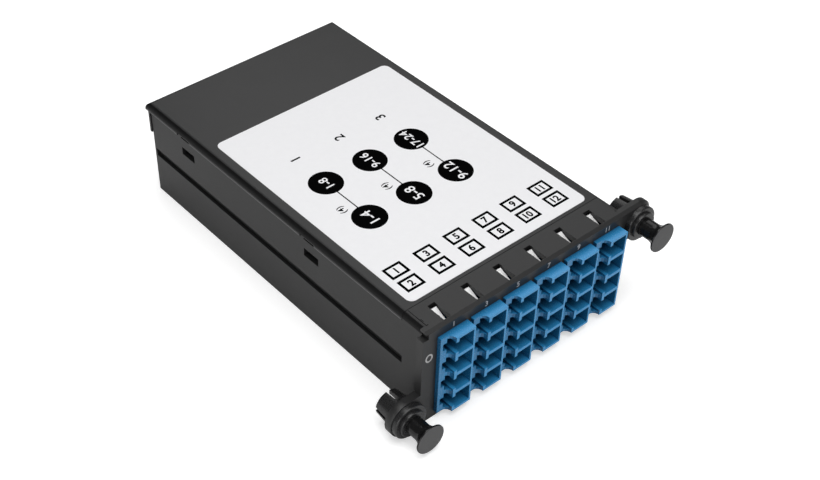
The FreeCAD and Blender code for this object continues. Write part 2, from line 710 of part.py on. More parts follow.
# Four plugs sit in the rear of each adapter: housing, square boot and ceramic ferrule.
def make_plugs(index):
    body = new_body("rear_plugs_%d" % (index + 1))
    centre = FERRULE_X
    half = "dims.plug_size / 2"
    boot = "dims.plug_boot / 2"
    housing = pad(body, "housing", "Y", "dims.plug_front", PLUG_REAR, rectangle(
        "%s - %s" % (centre, half), "%s - %s" % (FIRST_PORT, half),
        "%s + %s" % (centre, half), "%s + %s" % (FIRST_PORT, half)))
    relief = pad(body, "boot", "Y", PLUG_REAR, PLUG_REAR + " + dims.plug_boot_length", rectangle(
        "%s - %s" % (centre, boot), "%s - %s" % (FIRST_PORT, boot),
        "%s + %s" % (centre, boot), "%s + %s" % (FIRST_PORT, boot)))
    ferrule = pad(body, "ferrule", "Y", "dims.ferrule_front", "dims.plug_front",
                  many_sided(centre, FIRST_PORT, "dims.ferrule_radius", BORE_SIDES))
    pattern(body, "plugs", [housing, relief, ferrule], "Z", "dims.port_pitch", "dims.port_count")
    move(body, FIRST_ADAPTER + " + %d * dims.adapter_pitch" % index, "0", "dims.adapter_base")
    return body


# A ribbon adapter passes through the rear wall, its flange against the outside.
def make_ribbon_adapter(index):
    body = new_body("ribbon_adapter_%d" % (index + 1))
    half_width = "dims.ribbon_body_width / 2"
    half_height = "dims.ribbon_body_height / 2"
    pad(body, "block", "Y", RIBBON_INNER_END, RIBBON_OUTER_END,
        rectangle("-" + half_width, "-" + half_height, half_width, half_height))
    pad(body, "flange", "Y", "dims.tray_depth", "dims.tray_depth + dims.ribbon_flange_thickness", rectangle(
        "-dims.ribbon_flange_width / 2", "-" + half_height, "dims.ribbon_flange_width / 2", half_height))
    port_half = "dims.ribbon_port_width / 2"
    port_top = "dims.ribbon_port_height / 2"
    key_half = "dims.ribbon_key_width / 2"
    keyed = outline(
        ("-" + port_half, "-" + port_top), (port_half, "-" + port_top), (port_half, port_top),
        (key_half, port_top), (key_half, port_top + " + dims.ribbon_key_height"),
        ("-" + key_half, port_top + " + dims.ribbon_key_height"), ("-" + key_half, port_top),
        ("-" + port_half, port_top))
    outer_floor = RIBBON_OUTER_END + " - dims.ribbon_port_depth"
    pocket(body, "outer_port", "Y", outer_floor, RIBBON_OUTER_END, keyed)
    pocket(body, "inner_port", "Y", RIBBON_INNER_END, RIBBON_SEAT, keyed)
    pocket(body, "window", "Y", RIBBON_SEAT, outer_floor,
           rectangle("-dims.ribbon_port_width / 3", "-dims.ribbon_port_height / 5",
                     "dims.ribbon_port_width / 3", "dims.ribbon_port_height / 5"))
    move(body, "%s + %d * dims.ribbon_pitch" % (FIRST_RIBBON, index), "0", "dims.ribbon_rise")
    return body


# A sprung steel clip grips each ribbon adapter against the inside of the rear wall.
def make_ribbon_clip(index):
    body = new_body("ribbon_clip_%d" % (index + 1))
    half_width = "dims.ribbon_body_width / 2"
    half_height = "dims.ribbon_body_height / 2"
    thick = "dims.clip_thickness"
    inside = "dims.tray_depth - dims.wall"
    outer = "%s + %s" % (half_width, thick)
    pad(body, "band", "Y", inside + " - 7", inside + " - 3", outline(
        ("-(%s)" % outer, "-" + half_height), ("-" + half_width, "-" + half_height),
        ("-" + half_width, half_height), (half_width, half_height), (half_width, "-" + half_height),
        (outer, "-" + half_height), (outer, "%s + %s" % (half_height, thick)),
        ("-(%s)" % outer, "%s + %s" % (half_height, thick))))
    for side in ("", "-"):
        pad(body, "wing" + ("_left" if side else "_right"), "Z", "-1.5", "1.5", outline(
            ("%s(%s)" % (side, half_width), inside + " - 3"),
            ("%s(%s)" % (side, outer), inside + " - 3"),
            ("%s(%s + dims.ribbon_clip_width)" % (side, outer), inside),
            ("%s(%s + dims.ribbon_clip_width)" % (side, half_width), inside)))
    move(body, "%s + %d * dims.ribbon_pitch" % (FIRST_RIBBON, index), "0", "dims.ribbon_rise")
    return body


# The internal ribbon plug: housing in the adapter, and a round boot over its tube.
def make_ribbon_plug(index):
    body = new_body("ribbon_plug_%d" % (index + 1))
    half = "(dims.ribbon_port_width / 2 - dims.ribbon_plug_fit)"
    top = "(dims.ribbon_port_height / 2 - dims.ribbon_plug_fit)"
    front = RIBBON_SEAT + " - dims.ribbon_plug_length"
    pad(body, "housing", "Y", front, RIBBON_SEAT, rectangle("-" + half, "-" + top, half, top))
    pad(body, "boot", "Y", RIBBON_BOOT_END, front,
        many_sided("0", "0", "dims.ribbon_boot_radius", BORE_SIDES))
    pocket(body, "tube_bore", "Y", RIBBON_BOOT_END, front, many_sided("0", "0", TUBE_BORE, BORE_SIDES))
    move(body, "%s + %d * dims.ribbon_pitch" % (FIRST_RIBBON, index), "0", "dims.ribbon_rise")
    return body


# A round tube carries the ribbon from the plug's boot into the fan-out block.
def make_trunk(index):
    body = new_body("trunk_tube_%d" % (index + 1))
    pad(body, "tube", "Y", FAN_REAR + " - dims.fan_socket", "%s - dims.ribbon_plug_length" % RIBBON_SEAT,
        many_sided("0", "0", "dims.trunk_radius", BORE_SIDES))
    move(body, "%s + %d * dims.ribbon_pitch" % (FIRST_RIBBON, index), "0", "dims.ribbon_rise")
    return body


# The fan-out block splits a ribbon into eight single fibres.
def make_fan_out(index):
    body = new_body("fan_out_block_%d" % (index + 1))
    half = "dims.fan_width / 2"
    rise = "dims.fan_height / 2"
    cut = " - dims.fan_chamfer"
    pad(body, "block", "Y", "dims.fan_front", FAN_REAR, outline(
        ("-(%s%s)" % (half, cut), "-" + rise), (half + cut, "-" + rise), (half, "-(%s%s)" % (rise, cut)),
        (half, rise + cut), (half + cut, rise), ("-(%s%s)" % (half, cut), rise),
        ("-" + half, rise + cut), ("-" + half, "-(%s%s)" % (rise, cut))))
    pocket(body, "tube_bore", "Y", FAN_REAR + " - dims.fan_socket", FAN_REAR,
           many_sided("0", "0", TUBE_BORE, BORE_SIDES))
    move(body, "%s + %d * dims.ribbon_pitch" % (FIRST_RIBBON, index), "0", "dims.ribbon_rise")
    return body


# Four single fibres run from a fan-out block to the plugs of one adapter.
def make_legs(index):
    body = new_body("fibre_legs_%d" % (index + 1))
    column = index % 2
    block_x = "(%s + %d * dims.ribbon_pitch + (%d - 0.5) * 2 * dims.leg_spread)" % (
        FIRST_RIBBON, index // 2, column)
    plug_x = "(%s + %d * dims.adapter_pitch + %s)" % (FIRST_ADAPTER, index, FERRULE_X)
    for port in range(number_of("port_count")):
        block_z = "(dims.ribbon_rise + (%d - (dims.port_count - 1) / 2) * dims.leg_spread)" % port
        plug_z = "(dims.adapter_base + %s + %d * dims.port_pitch)" % (FIRST_PORT, port)
        plug_end = new_sketch(body, "plug_end_%d" % port, "Y", PLUG_REAR + " + dims.plug_boot_length")
        many_sided(plug_x, plug_z, "dims.leg_radius", LEG_SIDES)(plug_end)
        block_end = new_sketch(body, "block_end_%d" % port, "Y", "dims.fan_front")
        many_sided(block_x, block_z, "dims.leg_radius", LEG_SIDES)(block_end)
        leg = body.newObject("PartDesign::AdditiveLoft", "leg_%d" % port)
        leg.Profile = plug_end
        leg.Sections = [block_end]
        leg.Ruled = True
    return body


# The grommet clips into the ear: collar and ring in front, four barbed prongs behind.
def make_grommet(label, side, rise):
    body = new_body(label)
    bore = "dims.shaft_radius + dims.shaft_clearance"
    neck = "dims.plate_thickness"
    tip = "(dims.plate_thickness + dims.prong_length)"
    turned("Revolution", body, "turning", outline(
        (bore, "-dims.collar_thickness - dims.ring_thickness"),
        ("dims.ring_radius", "-dims.collar_thickness - dims.ring_thickness"),
        ("dims.ring_radius", "-dims.collar_thickness"), ("dims.collar_radius", "-dims.collar_thickness"),
        ("dims.collar_radius", "0"), (BARREL, "0"), (BARREL, neck + " + dims.barrel_clearance"),
        (BARREL + " + dims.prong_barb", neck + " + dims.barrel_clearance"),
        ("dims.barb_tip", tip), (bore, tip)))
    half = "dims.prong_gap / 2"
    pocket(body, "prong_slots", "Y", neck + " + dims.prong_gap / 2", tip + " + 1", outline(
        ("-" + half, "-8"), (half, "-8"), (half, "-" + half), ("8", "-" + half), ("8", half), (half, half),
        (half, "8"), ("-" + half, "8"), ("-" + half, half), ("-8", half), ("-8", "-" + half),
        ("-" + half, "-" + half)))
    move(body, "%s(dims.latch_reach)" % side, "0", rise)
    return body


# The plunger slides in the grommet; pushed home, it spreads the prongs behind the mounting plate.
def make_plunger(label, side, rise):
    body = new_body(label)
    neck = "(-dims.head_front + dims.head_rim + dims.flare_radius)"
    run = "sqrt(dims.flare_radius ^ 2 - (dims.flare_radius - dims.head_radius + dims.shaft_radius) ^ 2)"
    profile = [("0", "-dims.head_front"), ("dims.head_radius", "-dims.head_front"),
               ("dims.head_radius", neck + " - " + run)]
    drop = "(%s * 0.7)" % run
    bow = "sqrt(dims.flare_radius ^ 2 - %s ^ 2)" % drop
    profile.append(("dims.shaft_radius + dims.flare_radius - " + bow, "%s - %s" % (neck, drop)))
    stop = "-dims.collar_thickness - dims.ring_thickness - dims.latch_travel"
    profile += [("dims.shaft_radius", stop), ("dims.shaft_radius", "dims.shaft_tail"),
                ("0", "dims.shaft_tail")]
    turned("Revolution", body, "turning", outline(*profile))
    move(body, "%s(dims.latch_reach)" % side, "0", rise)
    return body


def build():
    """Make every sub-part in order and return them."""
    pieces = [make_tray(), make_cover(), make_label()]
    for index in range(number_of("adapter_count")):
        pieces.append(make_adapter(index))
        pieces.append(make_clip(index))
        pieces.append(make_plugs(index))
        pieces.append(make_legs(index))
    pieces.append(make_sleeves())
    for index in range(3):
        pieces.append(make_ribbon_adapter(index))
        pieces.append(make_ribbon_clip(index))
        pieces.append(make_ribbon_plug(index))
        pieces.append(make_trunk(index))
        pieces.append(make_fan_out(index))
    low = "dims.latch_rise"
    high = "dims.body_height - dims.latch_drop"
    pieces.append(make_grommet("left_grommet", "-", low))
    pieces.append(make_grommet("right_grommet", "", high))
    pieces.append(make_plunger("left_plunger", "-", low))
    pieces.append(make_plunger("right_plunger", "", high))
    return pieces


pieces = build()
doc.recompute()
for item in doc.Objects:
    if "Invalid" in item.State or "Error" in item.State:
        raise RuntimeError("%s did not compute" % item.Name)
for piece in pieces:
    if piece.Shape.isNull() or not piece.Shape.isValid() or not piece.Shape.Solids:
        raise RuntimeError("%s has no sound solid" % piece.Label)
    piece.Shape.exportStep("parts/%s.step" % piece.Label)
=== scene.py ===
import math

import bpy
from mathutils import Matrix, Vector


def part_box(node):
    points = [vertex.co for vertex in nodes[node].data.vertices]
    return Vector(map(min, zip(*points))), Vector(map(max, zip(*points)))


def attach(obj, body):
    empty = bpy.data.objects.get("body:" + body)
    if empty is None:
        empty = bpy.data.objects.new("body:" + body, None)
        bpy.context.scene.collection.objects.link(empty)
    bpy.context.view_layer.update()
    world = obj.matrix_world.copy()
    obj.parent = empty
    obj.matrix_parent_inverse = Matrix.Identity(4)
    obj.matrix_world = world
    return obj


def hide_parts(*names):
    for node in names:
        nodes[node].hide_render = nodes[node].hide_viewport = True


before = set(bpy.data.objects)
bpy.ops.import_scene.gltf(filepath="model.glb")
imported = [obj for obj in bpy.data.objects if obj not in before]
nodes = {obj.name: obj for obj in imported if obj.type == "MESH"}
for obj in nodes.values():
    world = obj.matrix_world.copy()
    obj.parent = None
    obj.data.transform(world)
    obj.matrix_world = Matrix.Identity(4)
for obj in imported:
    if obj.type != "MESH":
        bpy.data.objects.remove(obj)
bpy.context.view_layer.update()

bpy.ops.object.select_all(action="DESELECT")
MM = 0.001


# Camera: looks down on the left front corner, as the photograph does. Its place, turn and
# lens come from the plug ports' standard pitch.
image_width, image_height = 820, 480
sensor_width = 36.0
focal_pixels = 1333.2
centre_across, centre_down = 342.97, 259.82
look_right = Vector((0.773795, -0.633412, -0.005533))
look_up = Vector((0.428565, 0.517076, 0.740921))
look_ahead = Vector((0.466447, 0.575692, -0.671569))
camera_place = Vector((-182.585, -153.654, 246.749)) * MM
bpy.ops.object.camera_add()
camera = bpy.context.object
camera.name = "camera"
camera.data.sensor_width = sensor_width
camera.data.lens = sensor_width * focal_pixels / image_width
camera.data.shift_x = 0.5 - centre_across / image_width
camera.data.shift_y = (centre_down - image_height / 2) / image_width
camera.data.clip_start = 0.01
turn = Matrix((look_right, look_up, -look_ahead)).transposed().to_4x4()
camera.matrix_world = Matrix.Translation(camera_place) @ turn
bpy.context.scene.camera = camera
bpy.context.scene.view_settings.view_transform = "Standard"


# Studio: a white sweep under soft boxes. The big box stands behind and to the right, where the
# cover mirrors it. The sky stays dim, so rounded edges go dark, and the floor keeps its shadow.
def new_material(name):
    """A new node material, with its node tree and its shader."""
    material = bpy.data.materials.new(name)
    material.use_nodes = True
    tree = material.node_tree
    return material, tree, tree.nodes["Principled BSDF"]


def soft_box(name, place, aim, width, height, power):
    """An area lamp at a place, turned towards a point."""
    bpy.ops.object.light_add(type="AREA", location=place)
    lamp = bpy.context.object
    lamp.name = name
    lamp.data.shape = "RECTANGLE"
    lamp.data.size = width
    lamp.data.size_y = height
    lamp.data.energy = power
    lamp.rotation_euler = (Vector(aim) - Vector(place)).to_track_quat("-Z", "Y").to_euler()


middle = (0.0, 0.055, 0.015)
soft_box("rear_box", (0.28, 0.40, 0.44), middle, 0.5, 0.4, 0.8)
soft_box("overhead_box", (-0.05, -0.02, 0.6), middle, 0.5, 0.5, 2.6)
soft_box("front_box", (0.1, -0.55, 0.2), middle, 0.5, 0.3, 1.2)
soft_box("left_box", (-0.55, -0.1, 0.16), middle, 0.4, 0.3, 1.2)

world = bpy.data.worlds.new("studio")
world.use_nodes = True
bpy.context.scene.world = world
world_nodes = world.node_tree.nodes
world_links = world.node_tree.links
seen = world_nodes.new("ShaderNodeLightPath")
dim_sky = world_nodes["Background"]
dim_sky.inputs["Color"].default_value = (1.0, 1.0, 1.0, 1.0)
dim_sky.inputs["Strength"].default_value = 0.1
white_sky = world_nodes.new("ShaderNodeBackground")
white_sky.inputs["Color"].default_value = (1.0, 1.0, 1.0, 1.0)
sky_choice = world_nodes.new("ShaderNodeMixShader")
world_links.new(seen.outputs["Is Camera Ray"], sky_choice.inputs["Fac"])
world_links.new(dim_sky.outputs["Background"], sky_choice.inputs[1])
world_links.new(white_sky.outputs["Background"], sky_choice.inputs[2])
world_links.new(sky_choice.outputs["Shader"], world_nodes["World Output"].inputs["Surface"])

near_reach, far_reach = 0.25, 0.9
near_glow, far_glow = 0.5, 1.0
bpy.ops.mesh.primitive_plane_add(size=6.0)
floor = bpy.context.object
floor.name = "floor"
floor_paint, tree, floor_shader = new_material("floor_paint")
floor_shader.inputs["Base Color"].default_value = (0.8, 0.8, 0.8, 1.0)
floor_shader.inputs["Roughness"].default_value = 0.9
floor_place = tree.nodes.new("ShaderNodeTexCoord")
floor_reach = tree.nodes.new("ShaderNodeVectorMath")
floor_reach.operation = "LENGTH"
floor_rise = tree.nodes.new("ShaderNodeMapRange")
floor_rise.inputs["From Min"].default_value = near_reach
floor_rise.inputs["From Max"].default_value = far_reach
floor_rise.inputs["To Min"].default_value = near_glow
floor_rise.inputs["To Max"].default_value = far_glow
floor_seen = tree.nodes.new("ShaderNodeLightPath")
floor_level = tree.nodes.new("ShaderNodeMath")
floor_level.operation = "MULTIPLY"
floor_glow = tree.nodes.new("ShaderNodeEmission")
floor_sum = tree.nodes.new("ShaderNodeAddShader")
tree.links.new(floor_place.outputs["Object"], floor_reach.inputs[0])
tree.links.new(floor_reach.outputs["Value"], floor_rise.inputs["Value"])
tree.links.new(floor_seen.outputs["Is Camera Ray"], floor_level.inputs[0])
tree.links.new(floor_rise.outputs["Result"], floor_level.inputs[1])
tree.links.new(floor_level.outputs["Value"], floor_glow.inputs["Strength"])
tree.links.new(floor_shader.outputs["BSDF"], floor_sum.inputs[0])
tree.links.new(floor_glow.outputs["Emission"], floor_sum.inputs[1])
tree.links.new(floor_sum.outputs["Shader"], tree.nodes["Material Output"].inputs["Surface"])
floor.data.materials.append(floor_paint)


def two_tone(tree, shader, dark, light, scale, detail=2.0):
    """Blend a finish's two tones by a soft noise over the piece."""
    place = tree.nodes.new("ShaderNodeTexCoord")
    noise = tree.nodes.new("ShaderNodeTexNoise")
    noise.inputs["Scale"].default_value = scale
    noise.inputs["Detail"].default_value = detail
    tint = tree.nodes.new("ShaderNodeMix")
    tint.data_type = "RGBA"
    tint.inputs["A"].default_value = (*dark, 1.0)
    tint.inputs["B"].default_value = (*light, 1.0)
    tree.links.new(place.outputs["Object"], noise.inputs["Vector"])
    tree.links.new(noise.outputs["Fac"], tint.inputs["Factor"])
    tree.links.new(tint.outputs["Result"], shader.inputs["Base Color"])
    return place, noise


def moulded_plastic(name, dark, light, roughness, grain, depth, shine=0.5):
    """Moulded plastic: a faint mottle in its colour, and a fine grain in its gloss and surface."""
    material, tree, shader = new_material(name)
    shader.inputs["Specular IOR Level"].default_value = shine
    place, _ = two_tone(tree, shader, dark, light, 90.0, 3.0)
    speckle = tree.nodes.new("ShaderNodeTexNoise")
    speckle.inputs["Scale"].default_value = grain
    speckle.inputs["Detail"].default_value = 2.0
    gloss = tree.nodes.new("ShaderNodeMapRange")
    gloss.inputs["To Min"].default_value = roughness - 0.06
    gloss.inputs["To Max"].default_value = roughness + 0.06
    relief = tree.nodes.new("ShaderNodeBump")
    relief.inputs["Strength"].default_value = 0.35
    relief.inputs["Distance"].default_value = depth
    tree.links.new(place.outputs["Object"], speckle.inputs["Vector"])
    tree.links.new(speckle.outputs["Fac"], gloss.inputs["Value"])
    tree.links.new(gloss.outputs["Result"], shader.inputs["Roughness"])
    tree.links.new(speckle.outputs["Fac"], relief.inputs["Height"])
    tree.links.new(relief.outputs["Normal"], shader.inputs["Normal"])
    return material


def dress(node, material):
    """Give a carried-over piece its finish."""
    mesh = nodes[node].data
    mesh.materials.clear()
    mesh.materials.append(material)


def soften(node, width):
    """Round a moulding's sharp edges a little, as a mould does."""
    piece = nodes[node]
    join = piece.modifiers.new("join", "WELD")
    join.merge_threshold = 0.000002
    flatten = piece.modifiers.new("flatten", "DECIMATE")
    flatten.decimate_type = "DISSOLVE"
    flatten.angle_limit = math.radians(1.0)
    edges = piece.modifiers.new("edges", "BEVEL")
    edges.width = width
    edges.segments = 2
    edges.limit_method = "ANGLE"
    edges.angle_limit = math.radians(40.0)
    edges.harden_normals = True


tray_black = moulded_plastic("tray_black", (0.01, 0.01, 0.0103), (0.014, 0.014, 0.0143),
                             0.46, 5200.0, 0.02 * MM)
dress("tray", tray_black)
soften("tray", 0.12 * MM)


# Strip lines: fine parting lines that the tool leaves on the strip's left end. They are thin bars
# that stand just off the strip, in a darker, duller black than the tray: painted shade for the
# shadow in the seams.
def settle(piece, material, body):
    """Fix a finished piece's place in its mesh, give it its material and let it ride."""
    bpy.ops.object.select_all(action="DESELECT")
    piece.select_set(True)
    bpy.context.view_layer.objects.active = piece
    bpy.ops.object.transform_apply(location=True, rotation=True, scale=True)
    piece.data.materials.clear()
    piece.data.materials.append(material)
    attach(piece, body)


def flat(place, width, depth):
    """A plane set to its size, left open in edit mode."""
    bpy.ops.object.select_all(action="DESELECT")
    bpy.ops.mesh.primitive_plane_add(size=1.0, location=place)
    bpy.ops.object.mode_set(mode="EDIT")
    bpy.ops.transform.resize(value=(width, depth, 1.0), center_override=place)
    return bpy.context.object


def thicken(step):
    """Extrude the open flat by a step, turn its faces outwards and leave edit mode."""
    bpy.ops.mesh.select_all(action="SELECT")
    bpy.ops.mesh.extrude_region_move(TRANSFORM_OT_translate={"value": step})
    bpy.ops.mesh.select_all(action="SELECT")
    bpy.ops.mesh.normals_make_consistent(inside=False)
    bpy.ops.object.mode_set(mode="OBJECT")


def flat_bar(place, width, depth, thickness):
    """A thin bar: a plane set to its size and extruded up."""
    bar = flat(place, width, depth)
    thicken((0.0, 0.0, thickness))
    return bar


def join(name, bars):
    """Join loose pieces of one print or one moulding into one object."""
    bpy.ops.object.select_all(action="DESELECT")
    for bar in bars:
        bar.select_set(True)
    bpy.context.view_layer.objects.active = bars[0]
    bpy.ops.object.join()
    bars[0].name = name
    return bars[0]


# Painted shade: a near-black, dull finish for the seam lines, standing in for the shadow in them.
seam_painted_shade = moulded_plastic("seam_painted_shade", (0.002, 0.002, 0.002), (0.004, 0.004, 0.004),
                             0.8, 5200.0, 0.01 * MM, shine=0.05)
top = 30.6
strip_top = top * MM
line_width = 0.16 * MM
line_rise = 0.02 * MM
strip_lines = join("strip_lines", [
    flat_bar((-31.95 * MM, 5.35 * MM, strip_top), line_width, 6.3 * MM, line_rise),
    flat_bar((-31.7 * MM, 2.12 * MM, strip_top), 0.66 * MM, line_width, line_rise),
    flat_bar((-31.6 * MM, 4.0 * MM, strip_top), line_width, 1.0 * MM, line_rise)])
settle(strip_lines, seam_painted_shade, "cassette")


# Strip rims: the lips along both ends of the slotted strip, moulded with the tray in the same
# plastic. They run on in line with the cover's lip, with the same rounding and painted shade on
# it.
def single_point(name, place):
    """One point at a place, left open in edit mode for an outline to grow from."""
    bpy.ops.object.select_all(action="DESELECT")
    bpy.ops.mesh.primitive_plane_add(size=MM, location=place)
    piece = bpy.context.object
    piece.name = name
    bpy.ops.object.mode_set(mode="EDIT")
    bpy.ops.mesh.merge(type="CENTER")
    return piece


def extruded(name, corners, start, run, along):
    """A bar: one point extruded round a closed outline, filled, and extruded along an axis."""
    def point(corner, depth):
        across, up = corner
        places = {"X": (depth, across, up), "Y": (across, depth, up), "Z": (across, up, depth)}
        return Vector(places[along]) * MM

    bar = single_point(name, point(corners[0], start))
    for before, after in zip(corners, corners[1:] + corners[:1]):
        step = point(after, start) - point(before, start)
        bpy.ops.mesh.extrude_region_move(TRANSFORM_OT_translate={"value": step})
    bpy.ops.mesh.select_all(action="SELECT")
    bpy.ops.mesh.remove_doubles(threshold=0.001 * MM)
    bpy.ops.mesh.edge_face_add()
    thicken(point((0.0, 0.0), run))
    bpy.ops.object.transform_apply(location=True, rotation=True, scale=True)
    return bar


def quarter(centre_across, centre_up, radius_across, radius_up, from_degrees, to_degrees):
    """Points on a quarter of an oval, in mm."""
    steps = 8
    points = []
    for index in range(steps + 1):
        angle = math.radians(from_degrees + (to_degrees - from_degrees) * index / steps)
        points.append((centre_across + radius_across * math.cos(angle),
                       centre_up + radius_up * math.sin(angle)))
    return points


def paint_lip_shade(piece):
    """Paint shade on the lip's rounding along both sides: a darker black that stands in for the
    dark band the rounded edge mirrors.
    """
    lip_start = 31.9 * MM
    piece.data.materials.append(lip_painted_shade)
    for face in piece.data.polygons:
        rounding = 0.5 < abs(face.normal.x) < 0.98 and face.normal.z > 0.1
        if rounding and abs(face.center.x) > lip_start:
            face.material_index = 1


rim_reach, wall = 33.5, 32.5
lip_across, lip_down = 1.5, 2.1
right_rim = quarter(rim_reach - lip_across, top - lip_down, lip_across, lip_down, 90.0, 0.0)
right_rim += [(rim_reach, 28.2), (wall, 28.0)]
left_rim = [(-across, up) for across, up in reversed(right_rim)]
strip_front, strip_length = 1.9, 6.8
rim_inside, rim_foot = 31.5, 27.95
right_end = right_rim + [(rim_inside, rim_foot), (rim_inside, top)]
left_end = left_rim + [(-rim_inside, top), (-rim_inside, rim_foot)]
strip_rims = join("strip_rims", [
    extruded("strip_rim", right_end, strip_front, strip_length, "Y"),
    extruded("strip_rim", left_end, strip_front, strip_length, "Y")])
settle(strip_rims, tray_black, "cassette")
bpy.ops.object.shade_smooth_by_angle(angle=math.radians(30.0))
# Painted shade: a darker, less shiny black for the lip's rounding, in place of the dark band it
# mirrors.
lip_painted_shade = moulded_plastic("lip_painted_shade", (0.003, 0.003, 0.0031), (0.005, 0.005, 0.0051),
                            0.44, 5200.0, 0.01 * MM, shine=0.2)
# Painted shade on the strip rims' rounding, in line with the cover's lip.
paint_lip_shade(strip_rims)


# Cover: the same black ABS in its own moulding. Its lip overhangs the walls a little, a skirt
# hangs down the rear, and four spring hooks inside snap into the walls' windows.
def combine(piece, others, operation):
    """Add other pieces to a piece or cut them out of it."""
    for other in others:
        bpy.ops.object.select_all(action="DESELECT")
        piece.select_set(True)
        bpy.context.view_layer.objects.active = piece
        change = piece.modifiers.new("change", "BOOLEAN")
        change.operation = operation
        change.solver = "EXACT"
        change.object = other
        bpy.ops.object.modifier_apply(modifier=change.name)
        bpy.data.objects.remove(other)


def on_side(side, outline):
    """An outline in mm, kept on the right or mirrored to the left."""
    return [(side * across, up) for across, up in outline]


cover_black = moulded_plastic("cover_black", (0.011, 0.011, 0.0113), (0.015, 0.015, 0.0153),
                              0.44, 5200.0, 0.02 * MM)
cover_low, cover_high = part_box("cover")
cover_front, cover_rear = cover_low.y / MM, cover_high.y / MM
lap, under, inner_half = 27.3, 29.1, 30.9
hollow = [(wall, lap), (inner_half, lap), (inner_half, under),
          (-inner_half, under), (-inner_half, lap), (-wall, lap)]
shell = extruded("cover_shell", right_rim + hollow + left_rim,
                 cover_front, cover_rear - cover_front, "Y")
rear_half, rear_top, rear_start = 31.2, 29.6, 114.8
rear_outline = [(-rear_half, lap), (rear_half, lap), (rear_half, rear_top), (-rear_half, rear_top)]
rear_wall = extruded("rear_wall", rear_outline, rear_start, cover_rear - rear_start, "Y")
skirt_half, skirt_foot, skirt_top, skirt_start = 32.75, 20.3, 29.0, 116.7
skirt_outline = [(-skirt_half, skirt_foot), (skirt_half, skirt_foot),
                 (skirt_half, skirt_top), (-skirt_half, skirt_top)]
skirt = extruded("skirt", skirt_outline, skirt_start, cover_rear - skirt_start, "Y")
combine(shell, [rear_wall, skirt], "UNION")
rear_radius, corner_radius, past = 2.1, 2.6, 1.0
rear_centre = cover_rear - rear_radius
rear_waste = quarter(rear_centre, top - rear_radius, rear_radius, rear_radius, 90.0, 0.0)
rear_waste += [(cover_rear + past, top - rear_radius), (cover_rear + past, top + past),
               (rear_centre, top + past)]
corner_across, corner_back = rim_reach - corner_radius, cover_rear - corner_radius
corner_waste = quarter(corner_across, corner_back, corner_radius, corner_radius, 0.0, 90.0)
corner_waste += [(corner_across, cover_rear + past), (rim_reach + past, cover_rear + past),
                 (rim_reach + past, corner_back)]
across_start, across_run = -40.0, 80.0
up_start, up_run = 10.0, 30.0
rear_cutter = extruded("rear_cutter", rear_waste, across_start, across_run, "X")
corner_cutter = extruded("corner_cutter", corner_waste, up_start, up_run, "Z")
combine(shell, [rear_cutter, corner_cutter], "DIFFERENCE")
window_rows = (44.3, 98.6)
hook_width = 5.2
hook = [(29.4, 21.7), (30.6, 21.7), (32.0, 23.25), (32.0, 23.55), (30.6, 23.55),
        (30.6, 29.3), (29.4, 29.3)]
combine(shell, [extruded("hook", on_side(side, hook), row - hook_width / 2, hook_width, "Y")
                for side in (-1, 1) for row in window_rows], "UNION")
notch_floor, notch_past = rim_reach - 0.45, rim_reach + 0.3
notch_before, notch_length = 2.4, 5.6
notch = [(notch_floor, 27.9), (notch_past, 27.9), (notch_past, 28.95), (notch_floor, 28.95)]
combine(shell, [extruded("notch", on_side(side, notch), row - notch_before, notch_length, "Y")
                for side in (-1, 1) for row in window_rows], "DIFFERENCE")
settle(shell, cover_black, "cassette")
bpy.ops.object.shade_smooth_by_angle(angle=math.radians(30.0))
# Painted shade on the cover lip's rounding.
paint_lip_shade(shell)
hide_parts("cover")


# Cover lip: a painted highlight, a thin pale strip along the lip's lower edge that stands in for
# the light the edge catches. It stops at the notch over each snap window.
# Painted highlight: a pale grey for the strip where the lip's lower edge catches light.
lip_highlight_grey = moulded_plastic("lip_highlight_grey", (0.1, 0.1, 0.102), (0.12, 0.12, 0.122),
                           0.5, 5200.0, 0.01 * MM)
highlight_root, highlight_edge = rim_reach - 0.1, rim_reach + 0.03
highlight_strip = [(highlight_root, 28.2), (highlight_edge, 28.22), (highlight_edge, 28.44), (highlight_root, 28.5)]
highlight_runs = ((9.2, 41.8), (47.6, 96.1), (101.9, 116.2))
highlight_strips = [extruded("highlight_strip", on_side(side, highlight_strip), begin, end - begin, "Y")
               for side in (-1, 1) for begin, end in highlight_runs]
settle(join("cover_lip_highlight", highlight_strips), lip_highlight_grey, "cassette")


# Label: a white film with rounded corners, die-cut and stuck on the cover's flat middle. Its
# print is black ink.
label_low, label_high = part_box("label")
label_middle = (label_low + label_high) / 2
film_low = Vector((label_middle.x, label_middle.y, label_low.z))
film_top = label_high.z - 0.02 * MM
film_corner = 1.8 * MM
film_white, tree, film = new_material("film_white")
two_tone(tree, film, (0.83, 0.83, 0.845), (0.87, 0.87, 0.885), 700.0, 4.0)
film.inputs["Roughness"].default_value = 0.6
label_film = flat(film_low, label_high.x - label_low.x, label_high.y - label_low.y)
label_film.name = "label_film"
bpy.ops.mesh.bevel(offset=film_corner, segments=8, affect="VERTICES")
thicken((0.0, 0.0, film_top - label_low.z))
settle(label_film, film_white, "cassette")
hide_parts("label")


